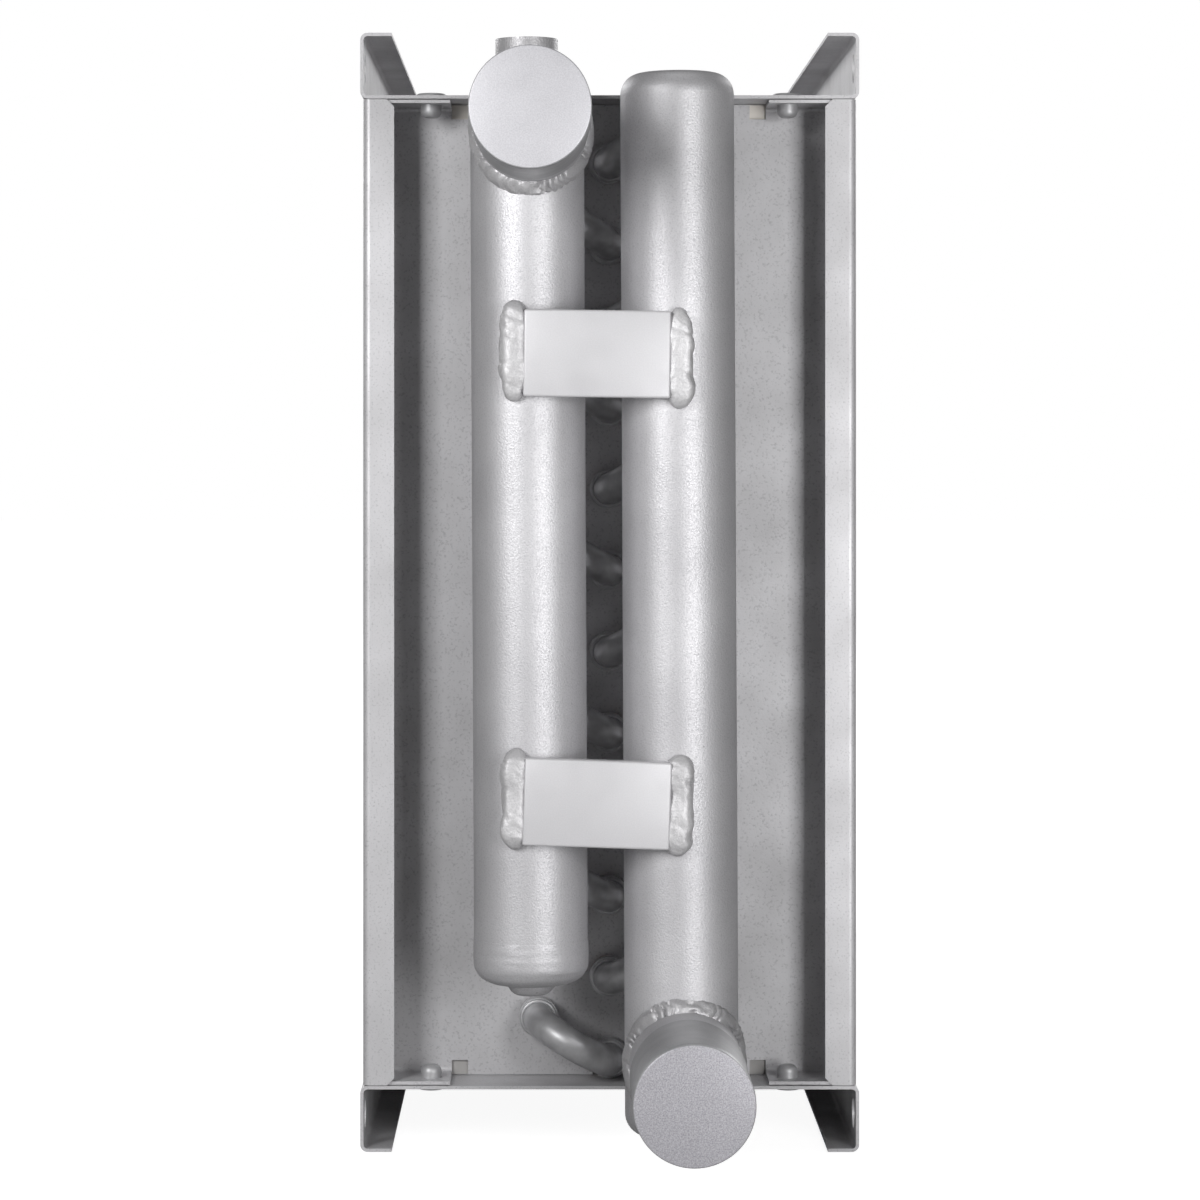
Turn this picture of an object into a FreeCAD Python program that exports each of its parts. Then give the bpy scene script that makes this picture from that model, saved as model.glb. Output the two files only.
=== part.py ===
import FreeCAD, Part
import math
import os

# Duct water heating coil, in millimetres.
# The origin is the middle of the inlet flange face: +X is the way the air goes, -Y is the side with the
# water connections, and +Z is up.

# Casing of folded sheet
duct_width = 500.0          # inside the duct, along the tubes
duct_height = 300.0         # inside the duct, up and down
casing_length = 150.0       # along the air, over the flanges of the two side panels
sheet = 1.0
fold_radius = 1.2           # inside a fold
flange_height = 20.0        # from the inside of the duct to the outside of the lip
lip_width = 9.5             # lip turned in along the edge of each flange
lip_corner = 2.2            # cut off the free corners of the side panels' lips
panel_step = 0.8            # top and bottom flanges stand this far outside the side flanges
panel_gap = 0.2             # between the side panels and the panels above and below them
bolt_diameter = 9.0         # holes in the flange corners
bolt_inset = 10.0           # from the inside of the duct to the middle of a corner hole

# Riveted tabs that tie the side panels to the panels above and below them
tab_width = 18.8
tab_depth = 18.0            # from the outside of the tube sheet to the free end
tab_gap = 0.25              # between a tab and the panel it is riveted to
tab_edge = 6.7              # from the inside of the flange to the tab
relief_width = 5.0          # notch beside the fold of the tab
relief_height = 4.4
tab_kerf = 1.0              # cut on the other side of the tab
rivet_diameter = 4.8
rivet_gap = 0.1             # around the shank, in its holes
rivet_head_diameter = 9.5
rivet_head_height = 1.2
rivet_head_rounding = 1.08
rivet_bulb_diameter = 6.4
rivet_bulb_height = 4.0
rivet_bulb_rounding = 2.1
rivet_depth = 10.5          # from the outside of the tube sheet to the rivet
rivet_edge = 6.0            # from the inner edge of the tab to the rivet

# Tubes
rows = 3
tubes_per_row = 12
tube_diameter = 9.52
tube_wall = 0.5
tube_hole_gap = 0.15        # around a tube in the side panels
fin_hole_gap = 0.1          # around a tube in the fins
bell_wall = 1.2             # flared cup at the end of a tube
bell_gap = 0.1              # around a bend or stub in its cup
bell_length = 5.0
bell_taper = 1.2
bell_seat = 0.3             # between the tube sheet and the flare
bell_edge_gap = 0.19        # between the outermost cups and the panel beside them
bend_straight = 0.5         # from the mouth of the cups to the start of the front bends
far_bend_straight = 1.0     # from the far tube sheet to the start of the far bends
edge_slot_width = 10.0      # slot from the outermost tube holes to the edge of the sheet

# Fins
fin_gap = 0.3               # between the fins and the panels above and below
fin_end_gap = 0.6           # between the stack of fins and the tube sheets
groove_pitch = 5.0
groove_width = 3.2
groove_depth = 4.0

# Headers
header_diameter = 33.7
header_wall = 2.6
header_knuckle = 6.4        # rounding of the closed ends
header_gap = 4.9            # between the front bends and the backs of the headers
header_tilt = -0.27         # degrees, the whole header group leans this much
stub_gap = 0.05             # around a stub in its header
stub_inset = 1.0            # how far a stub reaches into its header
return_header_shift = -2.6  # sideways, from its row of tubes to the axis of the header
return_header_rise = 5.0    # above the inside of the duct
return_header_drop = 7.7    # below the axis of its lowest stub
supply_header_shift = -1.4
supply_header_rise = 4.8
supply_header_drop = 9.5    # below the inside of the duct
button_diameter = 14.0      # weld where a header is closed at the bottom
button_height = 4.0
button_rounding = 3.8

# Connections
nipple_diameter = 33.25     # over the G1 thread
nipple_wall = 3.2
nipple_length = 59.8        # from the front of the header to the end of the nipple
return_nipple_shift = 1.4   # sideways, from the axis of the header
return_nipple_drop = 11.8   # below the inside of the duct
supply_nipple_shift = 0.9
supply_nipple_rise = 12.9   # above the inside of the duct
weld_leg = 2.8
weld_gap = 0.05             # between a welded piece and the header that it sits on
cap_wall = 0.4
cap_gap = 0.1               # between a cap and its nipple
cap_end = 0.8
cap_length = 44.0
cap_edge = 0.35             # rounding of the cap's rim
vent_diameter = 18.5
vent_length = 10.0
vent_bore = 11.5
vent_drilling = 8.0         # through the end of the header

# Flat bars across the two headers
bar_length = 42.8
bar_height = 25.4
bar_thickness = 5.0
bar_edge = 0.9
bar_shift = -2.4            # sideways, from midway between the headers
upper_bar_drop = 83.6       # below the top of the return header
upper_bar_tilt = 0.8        # degrees
lower_bar_rise = 54.5       # above the bottom of the return header
lower_bar_tilt = 1.9
bead_width = 6.8
bead_height = 28.6
bead_thickness = 3.8
bead_root = 2.0             # depth of the bead behind the crest of the header
bead_edge = 1.8

# Sizes that follow
panel_length = casing_length + 2 * panel_step
middle_x = panel_length / 2
web_face = duct_width / 2 + sheet
lip_face = duct_width / 2 + flange_height
tab_inner = casing_length / 2 - sheet - tab_edge - tab_width
tube_radius = tube_diameter / 2
bell_radius = tube_radius + bell_gap + bell_wall
tube_edge = bell_radius + bell_edge_gap
tube_pitch = (duct_height - 2 * tube_edge) / (tubes_per_row - 0.5)
row_pitch = tube_pitch * math.sqrt(3) / 2
cup_root = web_face + bell_seat
cup_floor = cup_root + bell_taper
cup_mouth = cup_floor + bell_length
bend_start = cup_mouth + bend_straight
bend_crown = bend_start + tube_pitch / 2 + tube_radius
header_radius = header_diameter / 2
header_depth = bend_crown + header_gap + header_radius
header_front = header_depth + header_radius
nipple_radius = nipple_diameter / 2
nipple_reach = header_radius + nipple_length

AXIS_X = FreeCAD.Vector(1, 0, 0)
AXIS_Y = FreeCAD.Vector(0, 1, 0)
AXIS_Z = FreeCAD.Vector(0, 0, 1)
ORIGIN = FreeCAD.Vector(0, 0, 0)


def point(x, y, z):
    return FreeCAD.Vector(x, y, z)


def corner_edges(before, here, after, radius):
    """The rounded corner at one point of an outline: where it starts, where it ends and its arc."""
    to_before = (before - here).normalize()
    to_after = (after - here).normalize()
    half_turn = to_before.getAngle(to_after) / 2
    start = here + to_before * (radius / math.tan(half_turn))
    end = here + to_after * (radius / math.tan(half_turn))
    centre = here + (to_before + to_after).normalize() * (radius / math.sin(half_turn))
    middle = centre + (here - centre).normalize() * radius
    return start, end, Part.Arc(start, middle, end).toShape()


def outline(corners):
    """A closed flat wire through corners of (u, v, radius)."""
    points = [point(u, v, 0) for u, v, radius in corners]
    starts, ends, arcs = [], [], []
    for i, (u, v, radius) in enumerate(corners):
        if radius > 0:
            start, end, arc = corner_edges(points[i - 1], points[i], points[(i + 1) % len(points)], radius)
        else:
            start, end, arc = points[i], points[i], None
        starts.append(start)
        ends.append(end)
        arcs.append(arc)
    edges = []
    for i, arc in enumerate(arcs):
        if arc:
            edges.append(arc)
        edges.append(Part.LineSegment(ends[i], starts[(i + 1) % len(starts)]).toShape())
    return Part.Wire(edges)


def extrusion(corners, origin, u_axis, v_axis, length):
    """A section of (u, v, radius) corners, set at origin and pushed along u_axis x v_axis."""
    solid = Part.Face(outline(corners)).extrude(point(0, 0, length))
    turn = FreeCAD.Rotation(u_axis, v_axis, u_axis.cross(v_axis), "ZXY")
    solid.Placement = FreeCAD.Placement(origin, turn)
    return solid


def channel(width, origin, v_axis, length):
    """A folded channel with its lips turned in: u runs along the air and v away from the duct."""
    outer = fold_radius + sheet
    top = flange_height
    corners = [
        (0, 0, outer),
        (width, 0, outer),
        (width, top, outer),
        (width - lip_width, top, 0),
        (width - lip_width, top - sheet, 0),
        (width - sheet, top - sheet, fold_radius),
        (width - sheet, sheet, fold_radius),
        (sheet, sheet, fold_radius),
        (sheet, top - sheet, fold_radius),
        (lip_width, top - sheet, 0),
        (lip_width, top, 0),
        (0, top, outer),
    ]
    return extrusion(corners, origin, AXIS_X, v_axis, length)


def rod(radius, start, direction, length):
    return Part.makeCylinder(radius, length, start, direction)


def lathe(profile, origin, direction):
    """A solid turned about its own axis from corners of (radius, height, rounding)."""
    face = Part.Face(outline(profile))
    solid = face.revolve(ORIGIN, AXIS_Y, 360)
    solid.Placement = FreeCAD.Placement(origin, FreeCAD.Rotation(AXIS_Y, direction))
    return solid


def column_x(row):
    return middle_x + (row - (rows - 1) / 2) * row_pitch


def tube_height(row, number):
    """The outer rows start high and the middle row starts half a pitch lower."""
    drop = 0.5 if row % 2 else 0.0
    return duct_height / 2 - tube_edge - (number + drop) * tube_pitch


def every_tube():
    return [(row, number) for row in range(rows) for number in range(tubes_per_row)]


def rivet_places():
    """The rivets through the top panel, each as x and y."""
    reach = tab_inner + rivet_edge
    depth = web_face + rivet_depth
    return [(middle_x + sx * reach, sy * depth) for sx in (-1, 1) for sy in (-1, 1)]


def make_top_panel():
    panel = channel(panel_length, point(0, lip_face, duct_height / 2), AXIS_Z, 2 * lip_face)
    holes = []
    for side in (-1, 1):
        centre = point(-sheet, side * (duct_width / 2 + bolt_inset), duct_height / 2 + bolt_inset)
        holes.append(rod(bolt_diameter / 2, centre, AXIS_X, panel_length + 2 * sheet))
    for x, y in rivet_places():
        start = point(x, y, duct_height / 2 - sheet)
        holes.append(rod(rivet_diameter / 2 + rivet_gap, start, AXIS_Z, 3 * sheet))
    return panel.cut(Part.makeCompound(holes))


def make_tab(side, up):
    """One riveted tab, folded out of the tube sheet: side is -1 or 1 across the air, up is -1 or 1."""
    top = duct_height / 2 - tab_gap
    corners = [
        (0, top, fold_radius + sheet),
        (sheet + tab_depth, top, 0),
        (sheet + tab_depth, top - sheet, 0),
        (sheet, top - sheet, fold_radius),
        (sheet, top - relief_height, 0),
        (0, top - relief_height, 0),
    ]
    start = middle_x + side * tab_inner + (tab_width if side > 0 else 0)
    tab = extrusion(corners, point(start, -duct_width / 2, 0), -AXIS_Y, AXIS_Z, tab_width)
    return tab if up > 0 else tab.mirror(ORIGIN, AXIS_Z)


def make_tab_notch(side, up):
    """What is cut from the tube sheet where a tab is folded out of it, with the notch beside the tab."""
    near = tab_inner - relief_width
    far = tab_inner + tab_width + tab_kerf
    notch = Part.makeBox(far - near, 3 * sheet, relief_height)
    x = middle_x + (near if side > 0 else -far)
    z = duct_height / 2 - tab_gap - relief_height
    notch.translate(point(x, -web_face - sheet, z if up > 0 else -z - relief_height))
    return notch


def make_edge_slot(row):
    """The slot from the tube hole nearest to the edge of the sheet, out past that edge."""
    slot = Part.makeBox(edge_slot_width, 3 * sheet, tube_edge + sheet)
    if row % 2:
        z = tube_height(row, tubes_per_row - 1) - tube_edge - sheet
    else:
        z = tube_height(row, 0)
    slot.translate(point(column_x(row) - edge_slot_width / 2, -web_face - sheet, z))
    return slot


def lip_corner_cut(side, up):
    """The slanted cut on the free corner of a side panel's lip."""
    x = middle_x + side * (casing_length / 2 - lip_width)
    z = up * (duct_height / 2 - panel_gap)
    a = point(x - side * sheet, 0, z + up * sheet)
    b = point(x + side * lip_corner, 0, z + up * sheet)
    c = point(x + side * lip_corner, 0, z)
    d = point(x, 0, z - up * lip_corner)
    e = point(x - side * sheet, 0, z - up * lip_corner)
    face = Part.Face(Part.makePolygon([a, b, c, d, e, a]))
    wedge = face.extrude(point(0, 3 * sheet, 0))
    wedge.translate(point(0, -lip_face - sheet, 0))
    return wedge


def make_side_panel():
    """The tube sheet on the connection side, with its flanges, tabs, tube holes and slots."""
    height = duct_height - 2 * panel_gap
    origin = point(panel_step, -duct_width / 2, height / 2)
    panel = channel(casing_length, origin, -AXIS_Y, height)
    cuts = []
    for row, number in every_tube():
        start = point(column_x(row), -web_face - sheet, tube_height(row, number))
        cuts.append(rod(tube_radius + tube_hole_gap, start, AXIS_Y, 3 * sheet))
    for row in range(rows):
        cuts.append(make_edge_slot(row))
    corners = [(side, up) for side in (-1, 1) for up in (-1, 1)]
    for side, up in corners:
        cuts.append(make_tab_notch(side, up))
        cuts.append(lip_corner_cut(side, up))
    panel = panel.cut(Part.makeCompound(cuts))
    panel = panel.fuse([make_tab(side, up) for side, up in corners])
    holes = []
    for x, y in rivet_places():
        start = point(x, -abs(y), -duct_height / 2)
        holes.append(rod(rivet_diameter / 2 + rivet_gap, start, AXIS_Z, duct_height))
    return panel.cut(Part.makeCompound(holes)).removeSplitter()


def make_rivets():
    """Blind rivets: the set head is on the outside of the casing, the bulb under the tab."""
    grip = sheet + tab_gap + sheet
    profile = [
        (0, -grip - rivet_bulb_height, 0),
        (rivet_bulb_diameter / 2, -grip - rivet_bulb_height, rivet_bulb_rounding),
        (rivet_bulb_diameter / 2, -grip, 0),
        (rivet_diameter / 2, -grip, 0),
        (rivet_diameter / 2, 0, 0),
        (rivet_head_diameter / 2, 0, 0),
        (rivet_head_diameter / 2, rivet_head_height, rivet_head_rounding),
        (0, rivet_head_height, 0),
    ]
    rivets = []
    for x, y in rivet_places():
        for up in (-1, 1):
            head = point(x, y, up * (duct_height / 2 + sheet))
            rivets.append(lathe(profile, head, AXIS_Z * up))
    return Part.makeCompound(rivets)


def make_fin_pack():
    """The stack of fins as one block, grooved on both air faces and bored for the tubes."""
    depth = rows * row_pitch
    length = duct_width - 2 * fin_end_gap
    height = duct_height - 2 * fin_gap
    grooves = int(length // groove_pitch)
    first = -grooves * groove_pitch / 2 + (groove_pitch - groove_width) / 2
    front = [(-length / 2, 0)]
    for i in range(grooves):
        y = first + i * groove_pitch
        front += [(y, 0), (y, groove_depth), (y + groove_width, groove_depth), (y + groove_width, 0)]
    front.append((length / 2, 0))
    left = middle_x - depth / 2
    right = middle_x + depth / 2
    ring = [point(left + inward, y, 0) for y, inward in front]
    ring += [point(right - inward, y, 0) for y, inward in reversed(front)]
    block = Part.Face(Part.makePolygon(ring + ring[:1])).extrude(point(0, 0, height))
    block.translate(point(0, 0, -height / 2))
    bores = []
    for row, number in every_tube():
        start = point(column_x(row), -duct_width / 2, tube_height(row, number))
        bores.append(rod(tube_radius + fin_hole_gap, start, AXIS_Y, duct_width))
    return block.cut(Part.makeCompound(bores))


def half_bend(spacing):
    """A hollow half turn of tube in the XY plane, from (0, 0) to (spacing, 0), reaching to -Y."""
    outer = Part.Face(Part.Wire(Part.makeCircle(tube_radius, ORIGIN, AXIS_Y)))
    inner = Part.Face(Part.Wire(Part.makeCircle(tube_radius - tube_wall, ORIGIN, AXIS_Y)))
    centre = point(spacing / 2, 0, 0)
    return outer.revolve(centre, AXIS_Z, 180).cut(inner.revolve(centre, AXIS_Z, 180))


def make_hairpin():
    """One hairpin tube at the origin: two flared legs one pitch apart in Z, joined by the far bend."""
    inner = tube_radius - tube_wall
    far_end = web_face + far_bend_straight
    leg = [
        (inner, far_end, 0),
        (tube_radius, far_end, 0),
        (tube_radius, -cup_root, 0),
        (bell_radius, -cup_floor, 0),
        (bell_radius, -cup_mouth, 0),
        (tube_radius + bell_gap, -cup_mouth, 0),
        (tube_radius + bell_gap, -cup_floor, 0),
        (inner, -cup_floor, 0),
    ]
    legs = [lathe(leg, point(0, 0, -i * tube_pitch), AXIS_Y) for i in range(2)]
    bend = half_bend(tube_pitch)
    bend.rotate(ORIGIN, AXIS_X, 180)
    bend.rotate(ORIGIN, AXIS_Y, 90)
    bend.translate(point(0, far_end, 0))
    return legs[0].fuse([legs[1], bend]).removeSplitter()


def make_return_bend(across, down):
    """A front bend between two cups, from the origin to (across, -down)."""
    spacing = math.hypot(across, down)
    straight = bend_start - cup_floor
    leg = rod(tube_radius, ORIGIN, -AXIS_Y, straight)
    leg = leg.cut(rod(tube_radius - tube_wall, ORIGIN, -AXIS_Y, straight))
    other = leg.copy()
    other.translate(point(spacing, 0, 0))
    bend = half_bend(spacing)
    bend.translate(point(0, -straight, 0))
    whole = leg.fuse([other, bend]).removeSplitter()
    whole.rotate(ORIGIN, AXIS_Y, math.degrees(math.atan2(down, across)))
    whole.translate(point(0, -cup_floor, 0))
    return whole


def lean(shape, turn=header_tilt):
    """Leans a piece of the header group about the middle of the coil."""
    shape.rotate(point(middle_x, 0, 0), AXIS_Y, turn)
    return shape


def make_header(x, top, bottom):
    """A tube closed at both ends by spinning, with the weld button at the bottom."""
    outer = [
        (0, bottom - button_height, 0),
        (button_diameter / 2, bottom - button_height, button_rounding),
        (button_diameter / 2, bottom, 0),
        (header_radius, bottom, header_knuckle),
        (header_radius, top, header_knuckle),
        (0, top, 0),
    ]
    wall = header_wall
    inner = [
        (0, bottom + wall, 0),
        (header_radius - wall, bottom + wall, header_knuckle - wall),
        (header_radius - wall, top - wall, header_knuckle - wall),
        (0, top - wall, 0),
    ]
    origin = point(x, -header_depth, 0)
    return lathe(outer, origin, AXIS_Z).cut(lathe(inner, origin, AXIS_Z))


def nipple_axis(x, z):
    return point(x, -header_depth, z)


def make_nipple(header_x, x, z):
    """A threaded nipple, cut to sit on its header, with the weld around its foot."""
    start = nipple_axis(x, z)
    body = rod(nipple_radius, start, -AXIS_Y, nipple_reach)
    below = point(header_x, -header_depth, z - 2 * header_diameter)
    around = rod(header_radius + weld_leg, below, AXIS_Z, 4 * header_diameter)
    collar = rod(nipple_radius + weld_leg, start, -AXIS_Y, 2 * header_diameter).common(around)
    whole = body.fuse(collar)
    whole = whole.cut(rod(nipple_radius - nipple_wall, start, -AXIS_Y, nipple_reach))
    whole = whole.cut(rod(header_radius + weld_gap, below, AXIS_Z, 4 * header_diameter))
    return whole.removeSplitter()


def make_cap(x, z):
    """The thin cap pushed over a nipple."""
    inner = nipple_radius + cap_gap
    outer = inner + cap_wall
    profile = [
        (0, 0, 0),
        (0, cap_end, 0),
        (outer, cap_end, cap_edge),
        (outer, cap_end - cap_length, 0),
        (inner, cap_end - cap_length, 0),
        (inner, 0, 0),
    ]
    return lathe(profile, point(x, -header_depth - nipple_reach - cap_gap, z), -AXIS_Y)


def make_vent(x, top):
    """The socket for an air vent, on top of the return header."""
    profile = [
        (vent_bore / 2, 0, 0),
        (vent_diameter / 2, 0, 0),
        (vent_diameter / 2, vent_length, 0),
        (vent_bore / 2, vent_length, 0),
    ]
    return lathe(profile, point(x, -header_depth, top), AXIS_Z)


def make_bar(headers, z, tilt):
    """A flat bar across both headers, with the welds at its ends. headers are the x of their axes."""
    x = sum(headers) / 2 + bar_shift
    bar = Part.makeBox(bar_length, bar_thickness, bar_height)
    bar.translate(point(x - bar_length / 2, -header_front - bar_thickness, z - bar_height / 2))
    front_edges = [e for e in bar.Edges if e.BoundBox.YMax < -header_front - bar_thickness / 2]
    bar = bar.makeFillet(bar_edge, front_edges)
    for side in (-1, 1):
        bead = Part.makeBox(bead_width, bead_thickness + bead_root, bead_height)
        bead = bead.makeFillet(bead_edge, bead.Edges)
        start = x + side * bar_length / 2 - (bead_width if side < 0 else 0)
        bead.translate(point(start, -header_front - bead_thickness, z - bead_height / 2))
        bar = bar.fuse(bead)
    bar.rotate(point(x, 0, z), AXIS_Y, tilt)
    cuts = []
    for header_x in headers:
        foot = point(header_x, -header_depth, -duct_height)
        cuts.append(lean(rod(header_radius + weld_gap, foot, AXIS_Z, 2 * duct_height)))
    return bar.cut(Part.makeCompound(cuts)).removeSplitter()


def save(name, shape):
    shape.exportStep("parts/" + name + ".step")
    print(name, "solids", len(shape.Solids), "volume", round(shape.Volume), "valid", shape.isValid())


def save_casing():
    top = make_top_panel()
    save("top_panel", top)
    bottom = top.copy()
    bottom.rotate(ORIGIN, AXIS_X, 180)
    save("bottom_panel", bottom)
    side = make_side_panel()
    save("connection_side_panel", side)
    far = side.copy()
    far.rotate(point(middle_x, 0, 0), AXIS_Z, 180)
    save("far_side_panel", far)
    save("casing_rivets", make_rivets())


def save_tubes():
    """Far hairpins join tubes 1-2, 3-4 and so on in each row. Front bends join the rows."""
    hairpin = make_hairpin()
    for row in range(rows):
        for pair in range(tubes_per_row // 2):
            piece = hairpin.copy()
            piece.translate(point(column_x(row), 0, tube_height(row, 2 * pair)))
            save("hairpin_row%d_%d" % (row + 1, pair + 1), piece)
    for number in range(tubes_per_row):
        first_row = 0 if number % 2 else 1
        z = tube_height(first_row, number)
        bend = make_return_bend(row_pitch, z - tube_height(first_row + 1, number))
        bend.translate(point(column_x(first_row), 0, z))
        save("return_bend_%02d" % (number + 1), bend)


def save_header(label, x, ends, nipple, stubs):
    """One header at x with its nipple and cap. ends are its top and bottom, nipple is an (x, z) and stubs
    are the (x, z) of the tubes that it feeds."""
    waterway = rod(nipple_radius - nipple_wall, nipple_axis(*nipple), -AXIS_Y, header_diameter)
    cuts = [lean(waterway)]
    length = header_depth - header_radius + header_wall + stub_inset - cup_floor
    for place, (stub_x, z) in enumerate(stubs):
        start = point(stub_x, -cup_floor, z)
        cuts.append(rod(tube_radius + stub_gap, start, -AXIS_Y, length))
        stub = rod(tube_radius, start, -AXIS_Y, length)
        stub = stub.cut(rod(tube_radius - tube_wall, start, -AXIS_Y, length))
        save("%s_stub_%d" % (label, place + 1), stub)
    if label == "return":
        below = point(x, -header_depth, ends[0] - header_knuckle)
        cuts.append(lean(rod(vent_drilling / 2, below, AXIS_Z, 2 * header_knuckle)))
        save("vent_socket", lean(make_vent(x, ends[0])))
    save(label + "_header", lean(make_header(x, *ends)).cut(Part.makeCompound(cuts)))
    save(label + "_nipple", lean(make_nipple(x, *nipple)))
    save(label + "_cap", lean(make_cap(*nipple)))


def save_headers():
    """The return header stands on the inlet row and takes its odd tubes, counted from the top. The supply
    header stands on the outlet row and feeds its even tubes."""
    half = duct_height / 2
    left = column_x(0)
    right = column_x(rows - 1)
    return_x = left + return_header_shift
    supply_x = right + supply_header_shift
    return_stubs = [(left, tube_height(0, number)) for number in range(0, tubes_per_row, 2)]
    supply_stubs = [(right, tube_height(rows - 1, number)) for number in range(1, tubes_per_row, 2)]
    top = half + return_header_rise
    bottom = return_stubs[-1][1] - return_header_drop
    save_header("return", return_x, (top, bottom),
                (return_x + return_nipple_shift, half - return_nipple_drop), return_stubs)
    save_header("supply", supply_x, (half + supply_header_rise, -half - supply_header_drop),
                (supply_x + supply_nipple_shift, -half + supply_nipple_rise), supply_stubs)
    headers = (return_x, supply_x)
    save("upper_spacer_bar", make_bar(headers, top - upper_bar_drop, upper_bar_tilt))
    save("lower_spacer_bar", make_bar(headers, bottom + lower_bar_rise, lower_bar_tilt))


os.makedirs("parts", exist_ok=True)
save_casing()
save("fin_pack", make_fin_pack())
save_tubes()
save_headers()
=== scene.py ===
import math
import bmesh
import bpy
from mathutils import Matrix, Vector, noise


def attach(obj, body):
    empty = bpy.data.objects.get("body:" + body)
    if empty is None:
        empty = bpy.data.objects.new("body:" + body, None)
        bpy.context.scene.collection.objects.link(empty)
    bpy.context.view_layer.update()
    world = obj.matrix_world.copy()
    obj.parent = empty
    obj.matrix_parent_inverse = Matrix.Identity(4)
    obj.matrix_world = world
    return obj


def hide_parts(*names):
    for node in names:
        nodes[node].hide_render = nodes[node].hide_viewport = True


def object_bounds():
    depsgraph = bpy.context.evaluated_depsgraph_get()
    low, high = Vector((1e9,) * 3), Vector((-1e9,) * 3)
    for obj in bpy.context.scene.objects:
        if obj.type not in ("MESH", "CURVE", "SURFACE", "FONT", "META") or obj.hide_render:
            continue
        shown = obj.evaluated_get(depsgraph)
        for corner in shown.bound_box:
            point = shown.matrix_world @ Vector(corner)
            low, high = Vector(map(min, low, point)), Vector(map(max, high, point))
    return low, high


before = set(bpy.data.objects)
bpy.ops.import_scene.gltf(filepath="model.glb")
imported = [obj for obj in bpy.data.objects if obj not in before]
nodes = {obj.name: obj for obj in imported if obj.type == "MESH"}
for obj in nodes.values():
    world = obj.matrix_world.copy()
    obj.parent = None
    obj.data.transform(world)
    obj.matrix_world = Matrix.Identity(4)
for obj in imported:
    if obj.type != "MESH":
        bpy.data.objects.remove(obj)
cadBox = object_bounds()
print("coil loaded:", len(nodes), "nodes")

# where the solids have their tubes and headers, in metres
coil = {
    "middleX": 0.0758,
    "rows": 3,
    "rowPitch": 0.0216506,
    "tubesPerRow": 12,
    "tubePitch": 0.025,
    "topTube": 0.14375,
    "cupMouth": 0.2575,
    "headerAxis": 0.29701,
    "headerRadius": 0.01685,
    "returnHeaderX": 0.051549,
    "supplyHeaderX": 0.096051,
    "returnHeaderBottom": -0.11395,
    "lean": -0.27,  # degrees
}
leanTurn = (
    Matrix.Translation((coil["middleX"], 0, 0))
    @ Matrix.Rotation(math.radians(coil["lean"]), 4, "Y")
    @ Matrix.Translation((-coil["middleX"], 0, 0))
)
acrossTurn = Matrix.Rotation(math.pi / 2, 4, "X")  # +Z becomes the way out of the coil, -Y


def tubePlaces():
    for row in range(coil["rows"]):
        x = coil["middleX"] + (row - 1) * coil["rowPitch"]
        drop = 0.5 if row % 2 else 0.0  # the middle row sits half a pitch lower
        for number in range(coil["tubesPerRow"]):
            yield x, coil["topTube"] - (number + drop) * coil["tubePitch"]


# Finishes: what their functions share. In their dictionaries a pattern is its scale and
# detail, spots are their scale and size, and relief is its depth and strength.

noiseRange = (0.3, 0.7)  # most of a noise lies between these


def addNode(tree, kind, inputs=None, **settings):
    node = tree.nodes.new(kind)
    for key, value in settings.items():
        setattr(node, key, value)
    for key, value in (inputs or {}).items():
        if isinstance(value, bpy.types.NodeSocket):
            tree.links.new(value, node.inputs[key])
        else:
            node.inputs[key].default_value = value
    return node


def reckon(tree, operation, first, second):
    node = addNode(tree, "ShaderNodeMath", {0: first, 1: second}, operation=operation)
    return node.outputs["Value"]


def grain(tree, place, scale, detail, stretch=None):
    if stretch:
        stretched = addNode(tree, "ShaderNodeMapping", {"Vector": place, "Scale": stretch})
        place = stretched.outputs["Vector"]
    node = addNode(tree, "ShaderNodeTexNoise", {"Vector": place, "Scale": scale, "Detail": detail})
    return node.outputs["Fac"]


def spread(tree, value, fromRange, toRange):
    node = addNode(tree, "ShaderNodeMapRange", {
        "Value": value,
        "From Min": fromRange[0],
        "From Max": fromRange[1],
        "To Min": toRange[0],
        "To Max": toRange[1],
    })
    return node.outputs["Result"]


def spots(tree, place, scale, size, core=0.4):
    cells = addNode(tree, "ShaderNodeTexVoronoi", {"Vector": place, "Scale": scale})
    return spread(tree, cells.outputs["Distance"], (size * core, size), (1, 0))


def blended(tree, factor, first, second, blend="MIX"):
    # first and second are colors or the sockets that give them
    colors = [c if isinstance(c, bpy.types.NodeSocket) else (*c, 1) for c in (first, second)]
    node = addNode(tree, "ShaderNodeMix", {"Factor": factor, "A": colors[0], "B": colors[1]},
                   data_type="RGBA", blend_type=blend)
    return node.outputs["Result"]


def bumps(tree, height, depth, strength, under=None):
    inputs = {"Height": height, "Distance": depth, "Strength": strength}
    if under:
        inputs["Normal"] = under
    return addNode(tree, "ShaderNodeBump", inputs).outputs["Normal"]


def startFinish(name, look):
    material = bpy.data.materials.new(name)
    material.use_nodes = True
    tree = material.node_tree
    tree.nodes.clear()
    output = tree.nodes.new("ShaderNodeOutputMaterial")
    shader = tree.nodes.new("ShaderNodeBsdfPrincipled")
    shader.inputs["Metallic"].default_value = look["metallic"]
    shader.inputs["Specular IOR Level"].default_value = look["specular"]
    tree.links.new(shader.outputs["BSDF"], output.inputs["Surface"])
    place = tree.nodes.new("ShaderNodeTexCoord").outputs["Object"]
    return material, tree, shader, place


def setFinish(tree, shader, color, roughness, normal):
    tree.links.new(color, shader.inputs["Base Color"])
    tree.links.new(roughness, shader.inputs["Roughness"])
    tree.links.new(normal, shader.inputs["Normal"])


# Galvanised sheet of the casing: cloudy, with dark specks in places

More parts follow.
